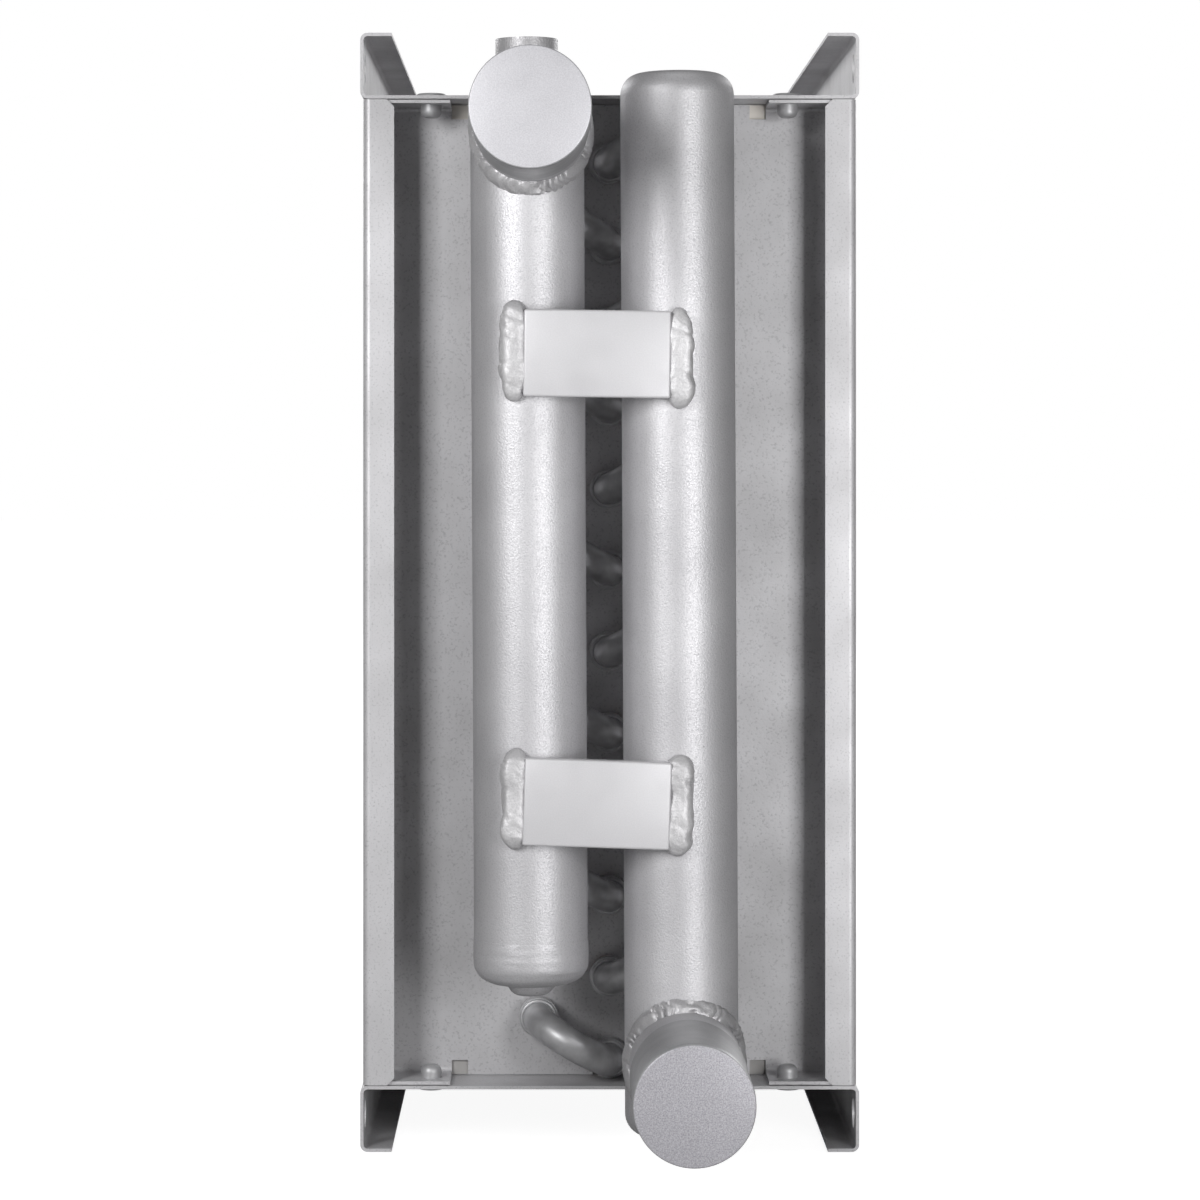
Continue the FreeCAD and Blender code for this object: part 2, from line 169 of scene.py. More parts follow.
sheet = {
    "metallic": 0.3,
    "specular": 0.3,
    "dark": (0.49, 0.485, 0.495),
    "light": (0.6, 0.595, 0.61),
    "rough": (0.52, 0.4),
    "cloud": (45, 4),
    "specks": (640, 0.2),
    "speckTint": (0.4, 0.39, 0.38),
    "patches": (90, 3),
    "patchShare": ((0.54, 0.72), (0, 0.5)),
    "fine": (1500, 3),
    "fineTint": (0.62, 0.62, 0.63),
    "fineShare": ((0.45, 0.3), (0, 0.6)),
    "relief": (0.00005, 0.5),
}


def galvanisedFinish():
    material, tree, shader, place = startFinish("galvanisedSheet", sheet)
    cloud = grain(tree, place, *sheet["cloud"])
    color = blended(tree, spread(tree, cloud, noiseRange, (0, 1)), sheet["dark"], sheet["light"])
    specks = spots(tree, place, *sheet["specks"])
    patches = spread(tree, grain(tree, place, *sheet["patches"]), *sheet["patchShare"])
    specked = reckon(tree, "MULTIPLY", specks, patches)
    color = blended(tree, specked, color, sheet["speckTint"], "MULTIPLY")
    fine = grain(tree, place, *sheet["fine"])
    fineShare = spread(tree, fine, *sheet["fineShare"])
    color = blended(tree, fineShare, color, sheet["fineTint"], "MULTIPLY")
    rough = spread(tree, cloud, noiseRange, sheet["rough"])
    setFinish(tree, shader, color, rough, bumps(tree, fine, *sheet["relief"]))
    return material


# Silver paint on headers, nipples and welds: flakes under a fine peel, with pits in places

silverLook = {
    "metallic": 0.62,
    "specular": 0.25,
    "dark": (0.5, 0.495, 0.51),
    "light": (0.59, 0.585, 0.6),
    "rough": (0.6, 0.46),
    "pitTint": (0.5, 0.5, 0.5),
    "relief": (0.00008, 0.8),
}
weldLook = {
    "metallic": 0.45,
    "specular": 0.25,
    "dark": (0.38, 0.375, 0.385),
    "light": (0.5, 0.495, 0.505),
    "rough": (0.54, 0.38),
    "pitTint": (0.5, 0.5, 0.5),
    "relief": (0.00015, 0.8),
}
beadLook = {
    "metallic": 0.35,
    "specular": 0.25,
    "dark": (0.5, 0.495, 0.505),
    "light": (0.64, 0.635, 0.645),
    "rough": (0.56, 0.42),
    "pitTint": (0.6, 0.6, 0.6),
    "relief": (0.00013, 0.8),
}
silverPaint = {
    "edgeTint": (0.55, 0.55, 0.55, 1),
    "cloud": (30, 3),
    "pits": (240, 0.1),
    "patches": (55, 1),
    "patchShare": ((0.56, 0.7), (0, 0.7)),
    "peel": (1600, 2),
    "flakes": (2300, 2),
    "flakeTint": (0.74, 0.74, 0.75),
    "flakeShare": ((0.5, 0.3), (0, 0.5)),
    "flakeRelief": (0.00008, 0.7),
}


def silverPaintFinish(name, look):
    material, tree, shader, place = startFinish(name, look)
    shader.inputs["Specular Tint"].default_value = silverPaint["edgeTint"]
    cloud = grain(tree, place, *silverPaint["cloud"])
    color = blended(tree, spread(tree, cloud, noiseRange, (0, 1)), look["dark"], look["light"])
    pits = spots(tree, place, *silverPaint["pits"])
    patches = grain(tree, place, *silverPaint["patches"])
    patchShare = spread(tree, patches, *silverPaint["patchShare"])
    pitted = reckon(tree, "MULTIPLY", pits, patchShare)
    color = blended(tree, pitted, color, look["pitTint"], "MULTIPLY")
    flakes = grain(tree, place, *silverPaint["flakes"])
    flakeShare = spread(tree, flakes, *silverPaint["flakeShare"])
    color = blended(tree, flakeShare, color, silverPaint["flakeTint"], "MULTIPLY")
    rough = spread(tree, flakes, noiseRange, look["rough"])
    normal = bumps(tree, flakes, *silverPaint["flakeRelief"])
    peel = grain(tree, place, *silverPaint["peel"])
    setFinish(tree, shader, color, rough, bumps(tree, peel, *look["relief"], normal))
    return material


# Smooth paint of the caps and bars, finely mottled; on the caps it holds painted light and shade: a
# lighter copy on the upper cap's face, darker copies on the lower cap's face and on the caps' sides

smoothPaint = {
    "metallic": 0.2,
    "specular": 0.3,
    "bar": ((0.56, 0.555, 0.57), (0.6, 0.595, 0.61)),
    "upperCap": ((0.48, 0.475, 0.5), (0.59, 0.585, 0.61)),
    "lowerCap": ((0.28, 0.275, 0.3), (0.5, 0.49, 0.52)),
    "shadedCapSide": ((0.28, 0.28, 0.29), (0.35, 0.35, 0.36)),
    "rough": (0.5, 0.38),
    "cloud": (120, 2),
    "mottle": (2600, 3),
    "mottleShare": ((0.32, 0.68), (0, 1)),
    "relief": (0.00003, 0.5),
}


def smoothPaintFinish(name, colors):
    material, tree, shader, place = startFinish(name, smoothPaint)
    mottle = grain(tree, place, *smoothPaint["mottle"])
    color = blended(tree, spread(tree, mottle, *smoothPaint["mottleShare"]), *colors)
    cloud = grain(tree, place, *smoothPaint["cloud"])
    rough = spread(tree, cloud, noiseRange, smoothPaint["rough"])
    setFinish(tree, shader, color, rough, bumps(tree, mottle, *smoothPaint["relief"]))
    return material


# Bare aluminium of the fins, rolled upwards, so its patterns are stretched

finMetal = {
    "metallic": 0.55,
    "specular": 0.4,
    "dark": (0.66, 0.67, 0.68),
    "light": (0.8, 0.81, 0.82),
    "rough": (0.42, 0.28),
    "cloud": (60, 2, (1, 1, 0.3)),
    "roll": (500, 1, (1, 1, 0.1)),
    "relief": (0.00003, 0.4),
}


def finFinish():
    material, tree, shader, place = startFinish("finAluminium", finMetal)
    cloud = grain(tree, place, *finMetal["cloud"])
    color = blended(tree, cloud, finMetal["dark"], finMetal["light"])
    rough = spread(tree, cloud, noiseRange, finMetal["rough"])
    roll = grain(tree, place, *finMetal["roll"])
    setFinish(tree, shader, color, rough, bumps(tree, roll, *finMetal["relief"]))
    return material


# Copper tubes: stained, and grey with stray paint where the headers were sprayed

tubeMetal = {
    "metallic": 0.65,
    "specular": 0.35,
    "copper": ((0.42, 0.17, 0.085), (0.62, 0.3, 0.17)),
    "spray": ((0.44, 0.44, 0.45), (0.58, 0.58, 0.59)),
    "rough": (0.5, 0.4),
    "stain": (140, 4),
    "dust": (220, 3),
    "ragged": (-0.002, 0.002),  # how far the edge of the spray wanders
    "fine": (900, 2),
    "relief": (0.00005, 0.5),
    "sprayOnCups": (-0.2525, -0.2495),  # Y from full spray to none
    "sprayAllOver": (0.5, 0.6),
}


def tubeFinish(name, sprayEdge):
    material, tree, shader, place = startFinish(name, tubeMetal)
    stain = grain(tree, place, *tubeMetal["stain"])
    copper = blended(tree, spread(tree, stain, noiseRange, (0, 1)), *tubeMetal["copper"])
    dust = grain(tree, place, *tubeMetal["dust"])
    spray = blended(tree, spread(tree, dust, noiseRange, (0, 1)), *tubeMetal["spray"])
    depth = addNode(tree, "ShaderNodeSeparateXYZ", {"Vector": place}).outputs["Y"]
    wander = spread(tree, stain, noiseRange, tubeMetal["ragged"])
    sprayed = spread(tree, reckon(tree, "ADD", wander, depth), sprayEdge, (1, 0))
    color = blended(tree, sprayed, copper, spray)
    rough = spread(tree, stain, noiseRange, tubeMetal["rough"])
    fine = grain(tree, place, *tubeMetal["fine"])
    setFinish(tree, shader, color, rough, bumps(tree, fine, *tubeMetal["relief"]))
    return material


# Patches behind the notches: light beige at the top of the coil as painted light, grey at the
# bottom as painted shade

patchLook = {
    "metallic": 0.0,
    "specular": 0.3,
    # the grey bottom colour is painted shade and the beige top colour painted light, blended by
    # height
    "bottom": (0.4, 0.39, 0.38),
    "top": (0.8, 0.76, 0.7),
    "change": (-0.05, 0.05),  # Z over which one turns into the other
    "cloud": (200, 3),
    "cloudTint": (0.8, 0.8, 0.8),
    "cloudShare": (0, 0.5),
    "rough": (0.7, 0.55),
    "fine": (1200, 2),
    "relief": (0.00003, 0.4),
}


def patchFinish():
    material, tree, shader, place = startFinish("notchPatchLitAndShaded", patchLook)
    height = addNode(tree, "ShaderNodeSeparateXYZ", {"Vector": place}).outputs["Z"]
    color = blended(tree, spread(tree, height, patchLook["change"], (0, 1)),
                    patchLook["bottom"], patchLook["top"])
    cloud = grain(tree, place, *patchLook["cloud"])
    cloudShare = spread(tree, cloud, noiseRange, patchLook["cloudShare"])
    color = blended(tree, cloudShare, color, patchLook["cloudTint"], "MULTIPLY")
    rough = spread(tree, cloud, noiseRange, patchLook["rough"])
    fine = grain(tree, place, *patchLook["fine"])
    setFinish(tree, shader, color, rough, bumps(tree, fine, *patchLook["relief"]))
    return material


# Dull metal of the rivets

rivetMetal = {
    "metallic": 0.5,
    "specular": 0.3,
    "dark": (0.4, 0.4, 0.41),
    "light": (0.56, 0.56, 0.57),
    "rough": (0.56, 0.44),
    "cloud": (400, 3),
    "fine": (1500, 2),
    "relief": (0.00002, 0.4),
}


def rivetFinish():
    material, tree, shader, place = startFinish("rivetMetal", rivetMetal)
    cloud = grain(tree, place, *rivetMetal["cloud"])
    color = blended(tree, cloud, rivetMetal["dark"], rivetMetal["light"])
    rough = spread(tree, cloud, noiseRange, rivetMetal["rough"])
    fine = grain(tree, place, *rivetMetal["fine"])
    setFinish(tree, shader, color, rough, bumps(tree, fine, *rivetMetal["relief"]))
    return material


finishes = {
    "galvanised": galvanisedFinish(),
    "silver": silverPaintFinish("silverPaint", silverLook),
    "bar": smoothPaintFinish("barPaint", smoothPaint["bar"]),
    "upperCap": smoothPaintFinish("litCapPaint", smoothPaint["upperCap"]),
    "lowerCap": smoothPaintFinish("shadedCapPaint", smoothPaint["lowerCap"]),
    "shadedCapSide": smoothPaintFinish("shadedCapSidePaint", smoothPaint["shadedCapSide"]),
    "fins": finFinish(),
    "hairpin": tubeFinish("copperHairpin", tubeMetal["sprayOnCups"]),
    "painted": tubeFinish("oversprayedCopper", tubeMetal["sprayAllOver"]),
    "weld": silverPaintFinish("paintedWeld", weldLook),
    "bead": silverPaintFinish("paintedBead", beadLook),
    "rivet": rivetFinish(),
    "patch": patchFinish(),
}
print("finishes made:", len(finishes))

# a solid takes the finish of the first of these words that is in its name, or else silver
solidFinishes = {
    "_panel": "galvanised",
    "rivets": "rivet",
    "fin_pack": "fins",
    "hairpin": "hairpin",
    "return_bend": "painted",
    "_stub_": "painted",
    "vent_socket": "weld",
    "return_cap": "upperCap",
    "supply_cap": "lowerCap",
}

for name, node in nodes.items():
    finish = next((solidFinishes[word] for word in solidFinishes if word in name), "silver")
    node.data.materials.clear()
    node.data.materials.append(finishes[finish])
print("solids dressed")


# New pieces: what their functions share


def addPiece(name, shape, finish, standsFor=(), smoothAngle=35):
    bmesh.ops.recalc_face_normals(shape, faces=shape.faces)
    mesh = bpy.data.meshes.new(name)
    shape.to_mesh(mesh)
    shape.free()
    mesh.materials.append(finishes[finish])
    mesh.shade_smooth()
    mesh.set_sharp_from_angle(angle=math.radians(smoothAngle))
    piece = bpy.data.objects.new(name, mesh)
    bpy.context.scene.collection.objects.link(piece)
    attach(piece, "root")
    if standsFor:
        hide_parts(*standsFor)
    return piece


def newVerts(made):
    return [v for v in made["geom"] if isinstance(v, bmesh.types.BMVert)]


def fullSpin(shape, parts, steps):
    bmesh.ops.spin(shape, geom=parts, cent=(0, 0, 0), axis=(0, 0, 1), angle=2 * math.pi,
                   steps=steps, use_merge=True)


def spinProfile(shape, corners, steps):
    # corners are (radius, height); a profile that starts on the axis also ends on it
    points = [shape.verts.new((radius, 0, height)) for radius, height in corners]
    edges = [shape.edges.new(pair) for pair in zip(points, points[1:])]
    if corners[0][0] > 0:
        edges.append(shape.edges.new((points[-1], points[0])))
    fullSpin(shape, points + edges, steps)
    bmesh.ops.remove_doubles(shape, verts=shape.verts, dist=0.000001)


def lump(place, frequency, seed=0.0):
    away = Vector((seed, seed * 1.7, seed * 0.6))  # another seed is another place in the noise
    return noise.noise(Vector(place) * frequency + away)


# Fins: one wavy sheet, repeated along the tubes, with a collar for every tube

fins = {
    "count": 199,
    "pitch": 0.0025,
    "thick": 0.00018,
    "height": 0.2992,
    "depth": 0.0648,
    "wave": 0.00055,
    "folds": 12,
    "sharpFrom": 20,  # degrees between two faces
    "collarRadius": 0.0051,
    "collarLength": 0.4986,
    "collarSides": 28,
}


def makeFins():
    shape = bmesh.new()
    left = coil["middleX"] - fins["depth"] / 2
    strip = [shape.verts.new((left, 0, -fins["height"] / 2))]
    for fold in range(fins["folds"]):
        made = bmesh.ops.extrude_vert_indiv(shape, verts=[strip[-1]])
        point = made["verts"][0]
        wave = fins["wave"] if fold % 2 == 0 else -fins["wave"]
        across = fins["depth"] * (fold + 1) / fins["folds"]
        point.co = (left + across, wave, -fins["height"] / 2)
        strip.append(point)
    raised = newVerts(bmesh.ops.extrude_edge_only(shape, edges=shape.edges[:]))
    bmesh.ops.translate(shape, verts=raised, vec=(0, 0, fins["height"]))
    bmesh.ops.solidify(shape, geom=shape.faces[:], thickness=fins["thick"])
    fin = shape.verts[:] + shape.edges[:] + shape.faces[:]
    for number in range(1, fins["count"]):
        copies = newVerts(bmesh.ops.duplicate(shape, geom=fin))
        bmesh.ops.translate(shape, verts=copies, vec=(0, number * fins["pitch"], 0))
    start = -(fins["count"] - 1) * fins["pitch"] / 2
    bmesh.ops.translate(shape, verts=shape.verts, vec=(0, start, 0))
    addPiece("fins", shape, "fins", ["fin_pack"], fins["sharpFrom"])


def makeFinCollars():
    shape = bmesh.new()
    for x, z in tubePlaces():
        place = Matrix.Translation((x, 0, z))
        bmesh.ops.create_cone(shape, cap_ends=True, segments=fins["collarSides"],
                              radius1=fins["collarRadius"], radius2=fins["collarRadius"],
                              depth=fins["collarLength"], matrix=place @ acrossTurn)
    addPiece("finCollars", shape, "fins")


# Small patches that close the corner notches from behind

backing = {
    "wide": 0.0066,
    "thick": 0.0006,
    "tall": 0.0052,
    "edge": 0.0001,
    "across": 0.046,  # from the middle of the coil to each patch
    "out": 0.2497,
    "up": 0.14745,
}


def makeNotchBackings():
    shape = bmesh.new()
    size = Matrix.Diagonal((backing["wide"], backing["thick"], backing["tall"], 1))
    for across in (-backing["across"], backing["across"]):
        for out in (-backing["out"], backing["out"]):
            for up in (-backing["up"], backing["up"]):
                place = Matrix.Translation((coil["middleX"] + across, out, up))
                bmesh.ops.create_cube(shape, size=1, matrix=place @ size)
    bmesh.ops.bevel(shape, geom=shape.edges[:], offset=backing["edge"], affect="EDGES",
                    segments=1, profile=0.5, material=-1)
    addPiece("notchBackings", shape, "patch")


makeFins()
makeFinCollars()
makeNotchBackings()
print("fins made:", fins["count"])

# Nipples: pipe with a thread, whose foot follows the header's curve

nipple = {
    "radius": 0.016625,
    "wall": 0.0032,
    "length": 0.0598,
    "footDepth": 0.0035,  # below the top of the header
    "sunk": 0.0012,
    "threadLength": 0.022,
    "threadPitch": 0.002309,
    "threadDepth": 0.00125,
    "steps": 96,
}
connections = {
    "return": {"headerX": coil["returnHeaderX"], "x": 0.052949, "z": 0.1382, "seed": 3.1},
    "supply": {"headerX": coil["supplyHeaderX"], "x": 0.096951, "z": -0.1371, "seed": 8.4},
}


def onHeader(across, joint):
    # how far the header's surface stands out at this distance from the nipple's middle
    reach = coil["headerRadius"]
    most = 0.985 * reach  # keeps clear of the header's very edge
    beside = max(-most, min(most, across + joint["x"] - joint["headerX"]))
    return math.sqrt(reach ** 2 - beside ** 2)


def setOnAxis(shape, joint, out=0.0):
    # lays a spun piece along the nipple's axis, this far out from the header's own axis
    place = Matrix.Translation((joint["x"], -coil["headerAxis"] - out, joint["z"]))
    bmesh.ops.transform(shape, verts=shape.verts, matrix=leanTurn @ place @ acrossTurn)


def makeNipple(label, joint):
    outer, inner = nipple["radius"], nipple["radius"] - nipple["wall"]
    foot = coil["headerRadius"] - nipple["footDepth"]
    end = coil["headerRadius"] + nipple["length"]
    height = end - nipple["threadLength"]
    corners = [(inner, foot), (outer, foot), (outer, height)]
    while height + nipple["threadPitch"] < end:
        root = height + nipple["threadPitch"] / 2
        height += nipple["threadPitch"]
        corners += [(outer - nipple["threadDepth"], root), (outer, height)]
    corners += [(outer - nipple["threadDepth"], end), (inner, end)]
    shape = bmesh.new()
    spinProfile(shape, corners, nipple["steps"])
    for v in shape.verts:
        if v.co.z < foot + 0.0001:  # the ring at the foot
            v.co.z = onHeader(v.co.x, joint) - nipple["sunk"]
    setOnAxis(shape, joint)
    addPiece(label + "Nipple", shape, "silver", [label + "_nipple"])


# Welds at the nipples' feet: a bead laid in slanting puddles

footWeld = {
    "wide": 0.0035,
    "high": 0.0021,
    "slope": 40,  # degrees
    "out": 0.001,
    "up": 0.0006,
    "sides": 28,
    "steps": 480,
    "girth": 0.98,
    "narrowing": 0.5,  # share lost where the header curves away
    "puddles": 30,
    "slant": 340,
    "crestPower": 0.6,
    "ripple": 0.38,
    "drift": (6.0, 2.4),  # amount and pace round the nipple, also of the next two
    "rippleChange": (1.6, 3),
    "wander": (0.22, 1.9),
    "sway": 0.0002,
    "roughness": ((0.1, 420), (0.06, 1100)),  # share of the girth and frequency
    "sharpFrom": 50,
}


def roundLump(angle, pace, seed):
    # noise that goes round the nipple and meets itself again
    return lump((pace * math.cos(angle), pace * math.sin(angle), 0), 1.0, seed)


def makeFootWeld(label, joint):
    seed = joint["seed"]
    middle = nipple["radius"] + footWeld["out"]
    shape = bmesh.new()
    ring = bmesh.ops.create_circle(shape, cap_ends=False, segments=footWeld["sides"],
                                   radius=1)["verts"]
    upright = Matrix.Rotation(math.pi / 2, 3, "X")
    slope = Matrix.Rotation(math.radians(footWeld["slope"]), 3, "Y")
    bmesh.ops.rotate(shape, verts=ring, cent=(0, 0, 0), matrix=upright)
    bmesh.ops.scale(shape, verts=ring, vec=(footWeld["wide"], 1, footWeld["high"]))
    bmesh.ops.rotate(shape, verts=ring, cent=(0, 0, 0), matrix=slope)
    bmesh.ops.translate(shape, verts=ring, vec=(middle, 0, 0))
    fullSpin(shape, shape.verts[:] + shape.edges[:], footWeld["steps"])
    driftMost, driftPace = footWeld["drift"]
    changeMost, changePace = footWeld["rippleChange"]
    wanderMost, wanderPace = footWeld["wander"]
    for v in shape.verts:
        angle = math.atan2(v.co.y, v.co.x)
        out = math.hypot(v.co.x, v.co.y) - middle
        slant = angle + out * footWeld["slant"]
        drift = driftMost * roundLump(angle, driftPace, seed + 2)
        turns = footWeld["puddles"] * slant / 2 + drift
        change = 1 + changeMost * roundLump(angle, changePace, seed + 5)
        crest = (1 - abs(math.sin(turns)) ** footWeld["crestPower"]) * change
        wander = roundLump(angle, wanderPace, seed)
        size = footWeld["girth"] - footWeld["ripple"] * crest + wanderMost * wander
        for share, frequency in footWeld["roughness"]:
            size += share * lump(v.co, frequency, seed)
        across, along = math.cos(angle), math.sin(angle)
        narrow = 1 - footWeld["narrowing"] * across ** 2
        radius = nipple["radius"] + (footWeld["out"] + out * size) * narrow
        radius += footWeld["sway"] * wander
        rise = onHeader(nipple["radius"] * across, joint) + footWeld["up"] * narrow
        v.co = (radius * across, radius * along, v.co.z * size + rise)
    setOnAxis(shape, joint)
    addPiece(label + "NippleWeld", shape, "weld", (), footWeld["sharpFrom"])


for label, joint in connections.items():
    makeNipple(label, joint)
    makeFootWeld(label, joint)
print("nipples and welds made")

# Caps: turned cups with an eased shoulder and a low ring behind it

cap = {
    "inner": 0.016725,
    "outer": 0.017125,
    "front": 0.0008,  # ahead of the nipple's end, and deep is behind it
    "deep": 0.0432,
    "shoulder": 0.0006,
    "shoulderShares": ((1, 0), (0.55, 0.12), (0.2, 0.45)),  # inwards and backwards
    "ringBehind": 0.0034,
    "ringRise": (0.0012, 0.0006),  # where the ring starts and is full, ahead of its middle
    "ringFall": (-0.0004, -0.0012),
    "ringHigh": 0.00012,
    "taper": 0.0002,
    "backEdge": 0.0006,
    "play": 0.0001,
    "steps": 160,
    "sharpFrom": 30,
    "faceTurn": -0.8,  # a normal whose Y is above this belongs to the side
}


def makeCap(label, joint):
    # the profile runs from the middle of the face, over the rim and back along the side
    outer, front, back = cap["outer"], cap["front"], -cap["deep"]
    ring = front - cap["ringBehind"]
    corners = [(0, front)]
    for inwards, backwards in cap["shoulderShares"]:
        corners.append((outer - cap["shoulder"] * inwards, front - cap["shoulder"] * backwards))
    corners += [
        (outer - cap["taper"], front - cap["shoulder"]),
        (outer - cap["taper"], ring + cap["ringRise"][0]),
        (outer, ring + cap["ringRise"][1]),
        (outer, ring + cap["ringFall"][0]),
        (outer - cap["ringHigh"], ring + cap["ringFall"][1]),
        (outer - cap["ringHigh"], back + cap["backEdge"]),
        (outer - cap["taper"], back),
        (cap["inner"], back),
        (cap["inner"], 0),
        (0, 0),
    ]
    shape = bmesh.new()
    spinProfile(shape, corners, cap["steps"])
    setOnAxis(shape, joint, coil["headerRadius"] + nipple["length"] + cap["play"])
    # the upper cap takes the lighter paint as painted light, the lower cap the darker paint as
    # painted shade
    finish = "upperCap" if label == "return" else "lowerCap"
    piece = addPiece(label + "Cap", shape, finish, [label + "_cap"],
                     cap["sharpFrom"])
    # faces turned sideways take the darker side paint, which is painted shade
    piece.data.materials.append(finishes["shadedCapSide"])
    for face in piece.data.polygons:
        if face.normal.y > cap["faceTurn"]:
            face.material_index = 1


for label, joint in connections.items():
    makeCap(label, joint)
print("caps made")

# Spacer bars, each with an upright weld bead at both ends

bars = {
    "length": 0.0428,
    "height": 0.0254,
    "thick": 0.005,
    "edge": 0.0007,
    "x": 0.0714,
    "front": 0.31386,
    "upper": {"z": 0.0714, "tilt": 0.8, "welds": ((-1, 0.0006, 2.0), (1, -0.0009, 5.0))},
    "lower": {"z": -0.05945, "tilt": 1.9, "welds": ((-1, 0.0004, 9.0), (1, 0.0, 12.0))},
}


def barPlace(label):
    turn = Matrix.Rotation(math.radians(bars[label]["tilt"]), 4, "Y")
    middle = (bars["x"], -bars["front"] - bars["thick"] / 2, bars[label]["z"])
    return Matrix.Translation(middle) @ turn


def makeBar(label):
    shape = bmesh.new()
    size = Matrix.Diagonal((bars["length"], bars["thick"], bars["height"], 1))
    bmesh.ops.create_cube(shape, size=1, matrix=size)
    bmesh.ops.bevel(shape, geom=shape.edges[:], offset=bars["edge"], affect="EDGES",
                    segments=3, profile=0.5, material=-1)
    bmesh.ops.transform(shape, verts=shape.verts, matrix=barPlace(label))
    addPiece(label + "SpacerBar", shape, "bar", [label + "_spacer_bar"])


barWeld = {
    "wide": 0.0084,
    "deep": 0.0092,
    "tall": 0.0296,
    "aside": 0.31,  # share of its width that it stands beside the bar
    "sunk": 0.0003,
    "around": 56,
    "along": 96,
    "endPower": 0.72,  # below 1 moves the rows of faces to the ends
    "girthPower": 6,
    "sidePower": 3,  # 2 is round, more is squarer
    "girth": 0.97,
    "ripples": 6.5,
    "slant": 0.9,
    "drift": 2,  # how unevenly the ripples follow each other
    "ripple": 0.1,
    "crestPower": 0.6,
    "swell": 0.28,
    "swellPace": (0.25, 0.25, 1.6),  # how fast it changes sideways, in depth and upwards
    "roughness": ((0.1, 1.8), (0.05, 5.0)),  # share of the girth and frequency
    "roughPace": (1, 1, 3),
    "lean": 0.16,
    "leanPace": 1.3,
    "intoDepth": 0.5,  # share of the swelling that the depth takes part in
    "sharpFrom": 60,
}


def paced(place, pace):
    return [part * times for part, times in zip(place, pace)]


def shapeBead(verts, seed):
    # turns a ball into an upright bead with rounded ends and wavy sides
    power = barWeld["sidePower"]
    fixed = 1 - barWeld["intoDepth"]
    for v in verts:
        tall = math.copysign(abs(v.co.z) ** barWeld["endPower"], v.co.z)
        girth = math.sqrt(max(0.0, 1 - abs(tall) ** barWeld["girthPower"]))
        flat = (abs(v.co.x) ** power + abs(v.co.y) ** power) ** (1 / power)
        flat = max(0.000001, flat)  # it is 0 at the poles
        x, y = v.co.x / flat * girth, v.co.y / flat * girth
        drift = barWeld["drift"] * lump((tall, 0, 0), 2.0, seed)
        turns = tall * barWeld["ripples"] + seed + barWeld["slant"] * x + drift
        crest = 1 - abs(math.sin(turns)) ** barWeld["crestPower"]
        swell = barWeld["swell"] * lump(paced((x, y, tall), barWeld["swellPace"]), 1.0, seed)
        size = barWeld["girth"] - barWeld["ripple"] * crest + swell
        for share, frequency in barWeld["roughness"]:
            size += share * lump(paced((x, y, tall), barWeld["roughPace"]), frequency, seed)
        lean = barWeld["lean"] * lump((barWeld["leanPace"] * tall, 0, 0), 1.0, seed + 4)
        v.co = ((x * size + lean) * barWeld["wide"] / 2,
                y * (fixed + barWeld["intoDepth"] * size) * barWeld["deep"] / 2,
                tall * barWeld["tall"] / 2)


def makeBarWelds(label):
    shape = bmesh.new()
    for side, up, seed in bars[label]["welds"]:
        ball = bmesh.ops.create_uvsphere(shape, u_segments=barWeld["around"],
                                         v_segments=barWeld["along"], radius=1)["verts"]
        shapeBead(ball, seed)
        aside = side * (bars["length"] / 2 + barWeld["wide"] * barWeld["aside"])
        bmesh.ops.translate(shape, verts=ball, vec=(aside, bars["thick"] / 2 - barWeld["sunk"], up))
    bmesh.ops.transform(shape, verts=shape.verts, matrix=barPlace(label))
    addPiece(label + "BarWelds", shape, "bead", (), barWeld["sharpFrom"])


for label in ("upper", "lower"):
    makeBar(label)
    makeBarWelds(label)
print("bars made")

# Bottom of the return header: a spun end with ridges, closed by a button of weld

button = {
    "size": (0.00714, 0.00578, 0.0034),  # from its middle, sideways, in depth and upwards
    "lumps": ((0.16, 1.6, 6.0), (0.05, 6.0, 2.0)),  # share, frequency and seed
    "aside": 0.0006,
    "below": 0.0001,
    "around": 64,
    "along": 32,
    "sharpFrom": 60,
}


def makeClosingWeld():
    shape = bmesh.new()
    ball = bmesh.ops.create_uvsphere(shape, u_segments=button["around"],
                                     v_segments=button["along"], radius=1)["verts"]
    for v in ball:
        bulge = 1 + sum(share * lump(v.co, *kind) for share, *kind in button["lumps"])
        v.co = [part * bulge for part in paced(v.co, button["size"])]
    place = Matrix.Translation((coil["returnHeaderX"] + button["aside"], -coil["headerAxis"],
                                coil["returnHeaderBottom"] - button["below"]))
    bmesh.ops.transform(shape, verts=shape.verts, matrix=leanTurn @ place)
    addPiece("returnHeaderClosingWeld", shape, "weld", (), button["sharpFrom"])


closedEnd = {
    "knuckle": 0.0064,
    "high": 0.013,
    "thick": 0.001,
    "proud": 0.00012,
    "ridge": 0.00022,
    "ridges": 16,
    "ridgeFade": 4,
    "rows": 34,
    "flatShare": 0.3,  # share of the rows on the flat bottom
    "bendShare": 0.45,
    "steps": 128,
    "dent": 0.006,
    "dentPace": (1, 1, 5),
    "dentFrequency": 260,
    "sharpFrom": 40,
}


